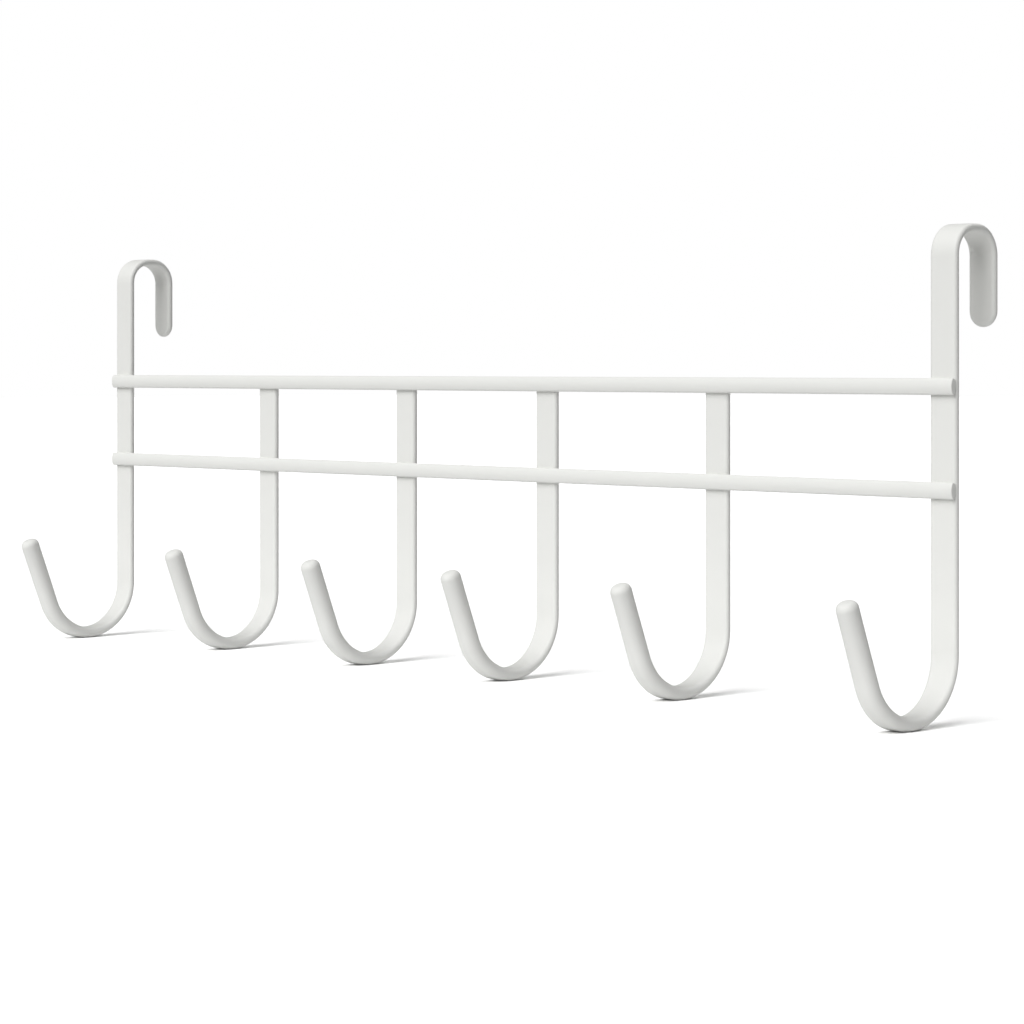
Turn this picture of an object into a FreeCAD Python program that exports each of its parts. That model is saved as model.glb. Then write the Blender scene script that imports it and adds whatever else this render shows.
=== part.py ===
"""Over door hook rack: two oval rails welded across the front of six flat straps.

Each strap is flattened wire that ends in a J hook. The two outer straps go on upwards and bend
back over the top of a door. Through each J hook the wire comes back from flat to round, and it
ends in a round tip with a softened rim.

Frame, in millimetres: the origin is midway between the two door hooks, in the plane of the
straps' back faces, at the height of the door's top edge. +X runs along the rails, to the right
as seen from the room. +Y goes through the door, away from the room. +Z is up.
"""

import FreeCAD, Part
import math
import os
from FreeCAD import Vector

# Overall
overall_width = 350.0            # over the outer edges of the two outer straps

# Flattened wire of the straps
strap_width = 8.2
strap_thickness = 2.0

# Door hooks
door_gap = 14.0                  # clear space for the door's thickness
door_bend_inner_radius = 6.0
back_leg_length = 18.0           # from the end of the bend to the rounded end

# J hooks
hook_drop = 106.0                # door's top edge down to the bend's centre, outer hooks
inner_hook_rise = 1.5            # the four inner hooks sit this much higher
j_bend_radius = 16.0             # to the middle of the wire
front_leg_lean = 21.0            # degrees from upright, away from the door
front_leg_length = 21.0          # straight part of an inner hook, with its tip
tip_diameter = 5.8
tip_length = 3.0                 # the end that is fully round
tip_rim_radius = 2.0
middle_pair_spacing = 60.0       # centre to centre, coat hooks 2 and 3
outer_pair_spacing = 190.0       # centre to centre, coat hooks 1 and 4

# Rails, flattened into an oval
rail_height = 4.2
rail_depth = 2.1
rail_end_radius = 0.75           # of the oval's top and bottom
rail_rim_radius = 0.3
rail_end_inset = 0.0             # from the outer straps' outer edges
upper_rail_drop = 39.0           # door's top edge down to the rail's middle
rail_spacing = 26.0
weld_set_down = 0.25             # how far a rail sinks into the straps when it is welded
top_end_cover = 0.3              # the short straps end this much below the upper rail's top

# How the flat wire turns round
morph_sections = 5               # evenly spaced, from the strap's foot to the tip
round_flat_angle = 1.0           # degrees, half of what each former flat takes of the round end

# Worked out from the above
half_width = strap_width / 2
half_thickness = strap_thickness / 2
front_plane = -half_thickness                    # Y of the middle of an upright strap
back_plane = door_gap + half_thickness           # Y of the middle of a back leg
door_bend_radius = door_bend_inner_radius + half_thickness
door_bend_foot = half_thickness - door_bend_radius
back_leg_foot = door_bend_foot - back_leg_length + half_width
outer_hook_x = (overall_width - strap_width) / 2
j_bend_turn = math.radians(180.0 - front_leg_lean)
j_bend_length = j_bend_radius * j_bend_turn
tip_radius = tip_diameter / 2
outer_front_leg = front_leg_length + inner_hook_rise / math.cos(math.radians(front_leg_lean))
rail_y = -strap_thickness - rail_depth / 2 + weld_set_down
rail_heights = {"rail_upper": -upper_rail_drop, "rail_lower": -upper_rail_drop - rail_spacing}
short_strap_top = -upper_rail_drop + rail_height / 2 - top_end_cover
coat_hook_places = (-outer_pair_spacing / 2, -middle_pair_spacing / 2,
                    middle_pair_spacing / 2, outer_pair_spacing / 2)


def direction(heading):
    """Unit step in the YZ plane. Heading 0 goes up, and a positive heading leans to +Y."""
    return Vector(0, math.sin(heading), math.cos(heading))


def section_wire(centre, heading, edge_reach, flat_reach, flat_height, crown=0.0):
    """Outline of the wire, square to its heading at a point of its middle line.

    Its two edges are arcs, and its two broad faces are flat, or bulged by the crown.
    """
    across = Vector(1, 0, 0)
    outwards = Vector(0, math.cos(heading), -math.sin(heading))

    def at(sideways, height):
        return centre + across * sideways + outwards * height

    def edge(side):
        return Part.Arc(at(side * flat_reach, -side * flat_height), at(side * edge_reach, 0),
                        at(side * flat_reach, side * flat_height))

    def broad_face(side):
        start = at(side * flat_reach, side * flat_height)
        end = at(-side * flat_reach, side * flat_height)
        if crown:
            return Part.Arc(start, at(0, side * (flat_height + crown)), end)
        return Part.LineSegment(start, end)

    return Part.Wire([edge(1).toShape(), broad_face(1).toShape(),
                      edge(-1).toShape(), broad_face(-1).toShape()])


def flat_section(centre, heading, width=strap_width, thickness=strap_thickness):
    """Flattened wire with full-round edges."""
    return section_wire(centre, heading, width / 2, (width - thickness) / 2, thickness / 2)


def round_section(centre, heading):
    """Round wire, where each broad face has shrunk to a very short arc."""
    angle = math.radians(round_flat_angle)
    flat_height = tip_radius * math.cos(angle)
    return section_wire(centre, heading, tip_radius, tip_radius * math.sin(angle), flat_height,
                        crown=tip_radius - flat_height)


def ease(share):
    """Smooth change from 0 to 1, level at both ends."""
    return share * share * (3 - 2 * share)


def morphed_section(share, centre, heading):
    """Section on the way from the flat strap (share 0) to the round tip (share 1)."""
    if share == 1:
        return round_section(centre, heading)
    width = strap_width + (tip_diameter - strap_width) * ease(share)
    thickness = strap_thickness + (tip_diameter - strap_thickness) * ease(share)
    return flat_section(centre, heading, width, thickness)


def j_place(x, bend_centre_z, distance):
    """Point and heading on a J hook's middle line, at a distance from the strap's foot."""
    turned = min(distance / j_bend_radius, j_bend_turn)
    heading = math.pi + turned
    bend_centre = Vector(x, front_plane - j_bend_radius, bend_centre_z)
    on_bend = bend_centre + Vector(0, math.cos(turned), -math.sin(turned)) * j_bend_radius
    return on_bend + direction(heading) * (distance - turned * j_bend_radius), heading


def j_hook(x, bend_centre_z, leg_length):
    """Bend and front leg, flat where they leave the strap and round at the tip."""
    length = j_bend_length + leg_length - tip_length
    foot, bottom, corner, end = [j_place(x, bend_centre_z, distance)[0] for distance
                                 in (0, j_bend_length / 2, j_bend_length, length)]
    path = Part.Wire([Part.Arc(foot, bottom, corner).toShape(),
                      Part.LineSegment(corner, end).toShape()])
    shares = [step / (morph_sections - 1) for step in range(morph_sections)]
    sections = [morphed_section(share, *j_place(x, bend_centre_z, share * length))
                for share in shares]
    wire = path.makePipeShell(sections, True, False)
    return [wire, round_tip(end, end - corner)]


def round_tip(start, axis):
    """Fully round end of the wire, with its rim softened."""
    tip = Part.makeCylinder(tip_radius, tip_length, start, axis)
    end = start + axis.normalize() * tip_length
    rim = [edge for edge in tip.Edges
           if edge.Closed and (edge.CenterOfMass - end).Length < tip_rim_radius]
    return tip.makeFillet(tip_rim_radius, rim)


def door_path(x):
    """Middle line of a long strap, from its back leg over the door and down to the J hook."""
    radius = door_bend_radius
    diagonal = radius * math.cos(math.radians(45))
    leg_foot = Vector(x, back_plane, back_leg_foot)
    leg_top = Vector(x, back_plane, door_bend_foot)
    back_middle = Vector(x, back_plane - radius + diagonal, door_bend_foot + diagonal)
    roof_back = Vector(x, back_plane - radius, door_bend_foot + radius)
    roof_front = Vector(x, front_plane + radius, door_bend_foot + radius)
    front_middle = Vector(x, front_plane + radius - diagonal, door_bend_foot + diagonal)
    strap_top = Vector(x, front_plane, door_bend_foot)
    strap_foot = Vector(x, front_plane, -hook_drop)
    return Part.Wire([Part.LineSegment(leg_foot, leg_top).toShape(),
                      Part.Arc(leg_top, back_middle, roof_back).toShape(),
                      Part.LineSegment(roof_back, roof_front).toShape(),
                      Part.Arc(roof_front, front_middle, strap_top).toShape(),
                      Part.LineSegment(strap_top, strap_foot).toShape()])


def rounded_end(x):
    """Half-round end of the back leg, with the strap's own edges carried round it."""
    centre = Vector(x, back_plane, back_leg_foot)
    reach = half_width - half_thickness
    inside, outside = Vector(0, -half_thickness, 0), Vector(0, half_thickness, 0)
    flat_end = Vector(reach, 0, 0)
    edge_middle = Vector(half_width, 0, 0)
    half_section = Part.Wire([
        Part.LineSegment(centre + inside, centre + flat_end + inside).toShape(),
        Part.Arc(centre + flat_end + inside, centre + edge_middle,
                 centre + flat_end + outside).toShape(),
        Part.LineSegment(centre + flat_end + outside, centre + outside).toShape(),
        Part.LineSegment(centre + outside, centre + inside).toShape()])
    return Part.Face(half_section).revolve(centre, Vector(0, 1, 0), 180)


def oval_bar(x_from, x_to, height):
    """Bar of the rails' section between two places along X: an oval of four tangent arcs."""
    reach = rail_height / 2
    depth = rail_depth / 2
    broad_radius = ((reach ** 2 + depth ** 2 - 2 * reach * rail_end_radius)
                    / (2 * (depth - rail_end_radius)))
    slope = math.atan2(reach - rail_end_radius, broad_radius - depth)
    joint = Vector(0, rail_end_radius * math.cos(slope),
                   reach - rail_end_radius + rail_end_radius * math.sin(slope))
    centre = Vector(x_from, rail_y, height)
    top, front = Vector(0, 0, reach), Vector(0, -depth, 0)
    upper_back = centre + joint
    upper_front = centre + Vector(0, -joint.y, joint.z)
    lower_front = centre - joint
    lower_back = centre + Vector(0, joint.y, -joint.z)
    oval = Part.Wire([Part.Arc(upper_back, centre + top, upper_front).toShape(),
                      Part.Arc(upper_front, centre + front, lower_front).toShape(),
                      Part.Arc(lower_front, centre - top, lower_back).toShape(),
                      Part.Arc(lower_back, centre - front, upper_back).toShape()])
    return Part.Face(oval).extrude(Vector(x_to - x_from, 0, 0))


def rail(height):
    """Oval rail that ends in line with the outer straps, with its end rims softened."""
    reach = overall_width / 2 - rail_end_inset
    bar = oval_bar(-reach, reach, height)
    rims = [edge for edge in bar.Edges if edge.BoundBox.XLength < rail_rim_radius]
    return bar.makeFillet(rail_rim_radius, rims)


def welded_strap(x, pieces):
    """Join a strap's stretches, and sink the two rails' seats into its front."""
    strap = pieces[0].fuse(pieces[1:]).removeSplitter()
    for height in rail_heights.values():
        strap = strap.cut(oval_bar(x - strap_width, x + strap_width, height))
    return strap


def door_hook(x):
    """Long strap: back leg, bend over the door, upright and J hook."""
    path = door_path(x)
    strap = path.makePipeShell([flat_section(path.OrderedVertexes[0].Point, 0)], True, False)
    return welded_strap(x, [strap, rounded_end(x)] + j_hook(x, -hook_drop, outer_front_leg))


def coat_hook(x):
    """Short strap: upright from behind the upper rail, and J hook."""
    bend_centre_z = inner_hook_rise - hook_drop
    top = Vector(x, front_plane, short_strap_top)
    section = Part.Face(flat_section(top, math.pi))
    strap = section.extrude(Vector(0, 0, bend_centre_z - short_strap_top))
    return welded_strap(x, [strap] + j_hook(x, bend_centre_z, front_leg_length))


def build():
    """All sub-parts by name."""
    parts = {name: rail(height) for name, height in rail_heights.items()}
    parts["door_hook_left"] = door_hook(-outer_hook_x)
    parts["door_hook_right"] = door_hook(outer_hook_x)
    for number, x in enumerate(coat_hook_places, start=1):
        parts["coat_hook_%d" % number] = coat_hook(x)
    return parts


def export(parts):
    """One STEP file for each sub-part."""
    os.makedirs("parts", exist_ok=True)
    for name, shape in parts.items():
        solid = shape.Solids[0] if len(shape.Solids) == 1 else shape
        solid.exportStep("parts/%s.step" % name)
        print(name, "solids", len(shape.Solids), "valid", shape.isValid(),
              "volume %.1f" % shape.Volume, "faces", len(shape.Faces))


export(build())
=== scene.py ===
"""Looks of the over door hook rack: satin powder coat on a pale floor, in soft studio light."""

import math

import bpy
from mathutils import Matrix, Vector


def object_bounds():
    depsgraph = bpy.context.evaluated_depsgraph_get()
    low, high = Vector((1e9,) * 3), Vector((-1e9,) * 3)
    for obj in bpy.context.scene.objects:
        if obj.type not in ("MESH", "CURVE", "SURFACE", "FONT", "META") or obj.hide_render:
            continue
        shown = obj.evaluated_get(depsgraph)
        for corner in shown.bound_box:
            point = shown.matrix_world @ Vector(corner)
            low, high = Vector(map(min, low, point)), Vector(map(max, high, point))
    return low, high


# Camera, level and turned to the rack as in the photograph
CAMERA_PLACE = Vector((0.6103, -0.5781, -0.0338))     # metres
CAMERA_AIM = Vector((-0.7178, 0.6963, 0.0))           # direction of view
FOCAL_PIXELS = 2867.5            # focal length at the photograph's width
PHOTO_WIDTH = 1024
HORIZON_ROW = 365.8              # photograph row of what is level with the camera
SENSOR_WIDTH = 36.0              # mm

# Powder coat
COAT_COLOUR = (0.846, 0.85, 0.823, 1.0)
COAT_TINT = (0.826, 0.83, 0.803, 1.0)     # the darker end of the mottle
COAT_ROUGHNESS = 0.5
COAT_SHEEN = 0.25                # strength of the mirror part, which powder coat keeps low
PEEL_SIZE = 0.0011               # metres from one orange-peel bump to the next
PEEL_HEIGHT = 0.000006           # metres
PEEL_DETAIL = 1.0                # octaves of noise
MOTTLE_SIZE = 0.012              # metres across a patch of slightly different tone
MOTTLE_DETAIL = 3.0              # octaves of noise

# Light: directions are degrees to the right of the rack's front, and above the horizon
KEY_DIRECTION = (6.0, 36.0)
KEY_SPREAD = 50.0                # degrees across the soft source
KEY_STRENGTH = 2.42              # watts per square metre
TOP_DIRECTION = (-10.0, 80.0)
TOP_SPREAD = 60.0
TOP_STRENGTH = 0.85
BACK_DIRECTION = (-170.0, 35.0)
BACK_SPREAD = 30.0
BACK_STRENGTH = 0.66
WORLD_LEVEL = 0.03               # even fill from all round
WHITE = (1.0, 1.0, 1.0, 1.0)

# Floor
FLOOR_HALF_WIDTH = 6.0           # metres
FLOOR_RISE = 0.00148             # metres, under the four inner hooks, which end higher
FLOOR_RISE_FROM = 0.15           # metres from the middle, where the rise starts
FLOOR_RISE_TO = 0.12             # and where it is whole
FLOOR_NEAR = (0.95, 0.95, 0.95, 1.0)      # what it throws back close to the rack
FLOOR_FAR = (0.45, 0.45, 0.45, 1.0)       # and further off
FLOOR_NEAR_REACH = 0.05          # metres in front of and behind the rack, near colour up to here
FLOOR_FAR_REACH = 0.12           # and far colour from here
FLOOR_SEEN = (1.45, 1.45, 1.45, 1.0)      # as the camera sees it, over 1 to come out white


def new_material(name):
    """Material whose node tree is empty, with that tree."""
    material = bpy.data.materials.new(name)
    material.use_nodes = True
    material.node_tree.nodes.clear()
    return material, material.node_tree


def powder_coat():
    """Satin white powder coat: fine orange peel and a slight drift of tone."""
    material, tree = new_material("powder_coat_satin")
    nodes, links = tree.nodes, tree.links
    output = nodes.new("ShaderNodeOutputMaterial")
    shader = nodes.new("ShaderNodeBsdfPrincipled")
    shader.inputs["Roughness"].default_value = COAT_ROUGHNESS
    shader.inputs["Specular IOR Level"].default_value = COAT_SHEEN
    place = nodes.new("ShaderNodeTexCoord")

    mottle = nodes.new("ShaderNodeTexNoise")
    mottle.inputs["Scale"].default_value = 1 / MOTTLE_SIZE
    mottle.inputs["Detail"].default_value = MOTTLE_DETAIL
    tone = nodes.new("ShaderNodeMix")
    tone.data_type = "RGBA"
    tone.inputs["A"].default_value = COAT_COLOUR
    tone.inputs["B"].default_value = COAT_TINT
    links.new(place.outputs["Object"], mottle.inputs["Vector"])
    links.new(mottle.outputs["Fac"], tone.inputs["Factor"])
    links.new(tone.outputs["Result"], shader.inputs["Base Color"])

    peel = nodes.new("ShaderNodeTexNoise")
    peel.inputs["Scale"].default_value = 1 / PEEL_SIZE
    peel.inputs["Detail"].default_value = PEEL_DETAIL
    bump = nodes.new("ShaderNodeBump")
    bump.inputs["Distance"].default_value = PEEL_HEIGHT
    links.new(place.outputs["Object"], peel.inputs["Vector"])
    links.new(peel.outputs["Fac"], bump.inputs["Height"])
    links.new(bump.outputs["Normal"], shader.inputs["Normal"])
    links.new(shader.outputs["BSDF"], output.inputs["Surface"])
    return material


def dress(nodes, material):
    """Give every piece the coat."""
    for piece in nodes.values():
        piece.data.materials.clear()
        piece.data.materials.append(material)


def floor_material():
    """Pale floor that the camera sees as white, apart from the rack's own shadow.

    It throws more light back from close to the rack than from further off, which lifts the
    undersides of the J hooks.
    """
    material, tree = new_material("pale_floor")
    nodes, links = tree.nodes, tree.links
    output = nodes.new("ShaderNodeOutputMaterial")
    shader = nodes.new("ShaderNodeBsdfDiffuse")
    place = nodes.new("ShaderNodeTexCoord")
    axes = nodes.new("ShaderNodeSeparateXYZ")
    away = nodes.new("ShaderNodeMath")
    away.operation = "ABSOLUTE"
    fade = nodes.new("ShaderNodeMapRange")
    fade.interpolation_type = "SMOOTHSTEP"
    fade.inputs["From Min"].default_value = FLOOR_NEAR_REACH
    fade.inputs["From Max"].default_value = FLOOR_FAR_REACH
    thrown = nodes.new("ShaderNodeMix")
    thrown.data_type = "RGBA"
    thrown.inputs["A"].default_value = FLOOR_NEAR
    thrown.inputs["B"].default_value = FLOOR_FAR
    path = nodes.new("ShaderNodeLightPath")
    colour = nodes.new("ShaderNodeMix")
    colour.data_type = "RGBA"
    colour.inputs["B"].default_value = FLOOR_SEEN
    links.new(place.outputs["Object"], axes.inputs["Vector"])
    links.new(axes.outputs["Y"], away.inputs[0])
    links.new(away.outputs["Value"], fade.inputs["Value"])
    links.new(fade.outputs["Result"], thrown.inputs["Factor"])
    links.new(thrown.outputs["Result"], colour.inputs["A"])
    links.new(path.outputs["Is Camera Ray"], colour.inputs["Factor"])
    links.new(colour.outputs["Result"], shader.inputs["Color"])
    links.new(shader.outputs["BSDF"], output.inputs["Surface"])
    return material


def add_floor(height):
    """Pale sheet under all the J hooks: it bows up a little to meet the inner ones."""
    profile = [(-FLOOR_HALF_WIDTH, 0), (-FLOOR_RISE_FROM, 0), (-FLOOR_RISE_TO, FLOOR_RISE),
               (FLOOR_RISE_TO, FLOOR_RISE), (FLOOR_RISE_FROM, 0), (FLOOR_HALF_WIDTH, 0)]
    corners = [(x, y, height + rise) for y in (-FLOOR_HALF_WIDTH, FLOOR_HALF_WIDTH)
               for x, rise in profile]
    count = len(profile)
    strips = [(i, i + 1, count + i + 1, count + i) for i in range(count - 1)]
    mesh = bpy.data.meshes.new("floor")
    mesh.from_pydata(corners, [], strips)
    mesh.materials.append(floor_material())
    floor = bpy.data.objects.new("floor", mesh)
    bpy.context.scene.collection.objects.link(floor)


def add_world():
    """Plain fill light, and white behind the rack for the camera."""
    world = bpy.data.worlds.new("studio")
    bpy.context.scene.world = world
    world.use_nodes = True
    tree = world.node_tree
    tree.nodes.clear()
    output = tree.nodes.new("ShaderNodeOutputWorld")
    fill = tree.nodes.new("ShaderNodeBackground")
    fill.inputs["Color"].default_value = WHITE
    fill.inputs["Strength"].default_value = WORLD_LEVEL
    seen = tree.nodes.new("ShaderNodeBackground")
    seen.inputs["Color"].default_value = WHITE
    path = tree.nodes.new("ShaderNodeLightPath")
    mix = tree.nodes.new("ShaderNodeMixShader")
    tree.links.new(path.outputs["Is Camera Ray"], mix.inputs["Fac"])
    tree.links.new(fill.outputs["Background"], mix.inputs[1])
    tree.links.new(seen.outputs["Background"], mix.inputs[2])
    tree.links.new(mix.outputs["Shader"], output.inputs["Surface"])


def add_lamp(name, direction, spread, strength):
    """Broad soft lamp from far away, so that it lights the whole floor evenly."""
    turn, rise = (math.radians(angle) for angle in direction)
    away = Vector((math.sin(turn) * math.cos(rise), -math.cos(turn) * math.cos(rise),
                   math.sin(rise)))
    data = bpy.data.lights.new(name, "SUN")
    data.angle = math.radians(spread)
    data.energy = strength
    lamp = bpy.data.objects.new(name, data)
    bpy.context.scene.collection.objects.link(lamp)
    lamp.location = away
    lamp.rotation_euler = (-away).to_track_quat("-Z", "Y").to_euler()


def add_camera():
    """The photograph's view: level, with the horizon shifted up to its row."""
    data = bpy.data.cameras.new("camera")
    data.sensor_width = SENSOR_WIDTH
    data.lens = FOCAL_PIXELS / PHOTO_WIDTH * SENSOR_WIDTH
    data.shift_y = (HORIZON_ROW - PHOTO_WIDTH / 2) / PHOTO_WIDTH
    camera = bpy.data.objects.new("camera", data)
    bpy.context.scene.collection.objects.link(camera)
    camera.location = CAMERA_PLACE
    camera.rotation_euler = CAMERA_AIM.to_track_quat("-Z", "Y").to_euler()
    bpy.context.scene.camera = camera


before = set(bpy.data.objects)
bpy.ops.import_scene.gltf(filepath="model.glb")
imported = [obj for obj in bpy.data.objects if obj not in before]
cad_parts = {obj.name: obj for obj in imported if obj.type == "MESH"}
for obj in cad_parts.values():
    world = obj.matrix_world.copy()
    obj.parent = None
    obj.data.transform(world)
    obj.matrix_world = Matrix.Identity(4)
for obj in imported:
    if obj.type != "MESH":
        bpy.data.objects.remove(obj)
cad_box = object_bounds()
bpy.context.scene.view_settings.view_transform = "Standard"
lowest = cad_box[0]
dress(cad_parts, powder_coat())
add_floor(lowest.z)
add_world()
add_lamp("key_lamp", KEY_DIRECTION, KEY_SPREAD, KEY_STRENGTH)
add_lamp("top_lamp", TOP_DIRECTION, TOP_SPREAD, TOP_STRENGTH)
add_lamp("back_lamp", BACK_DIRECTION, BACK_SPREAD, BACK_STRENGTH)
add_camera()
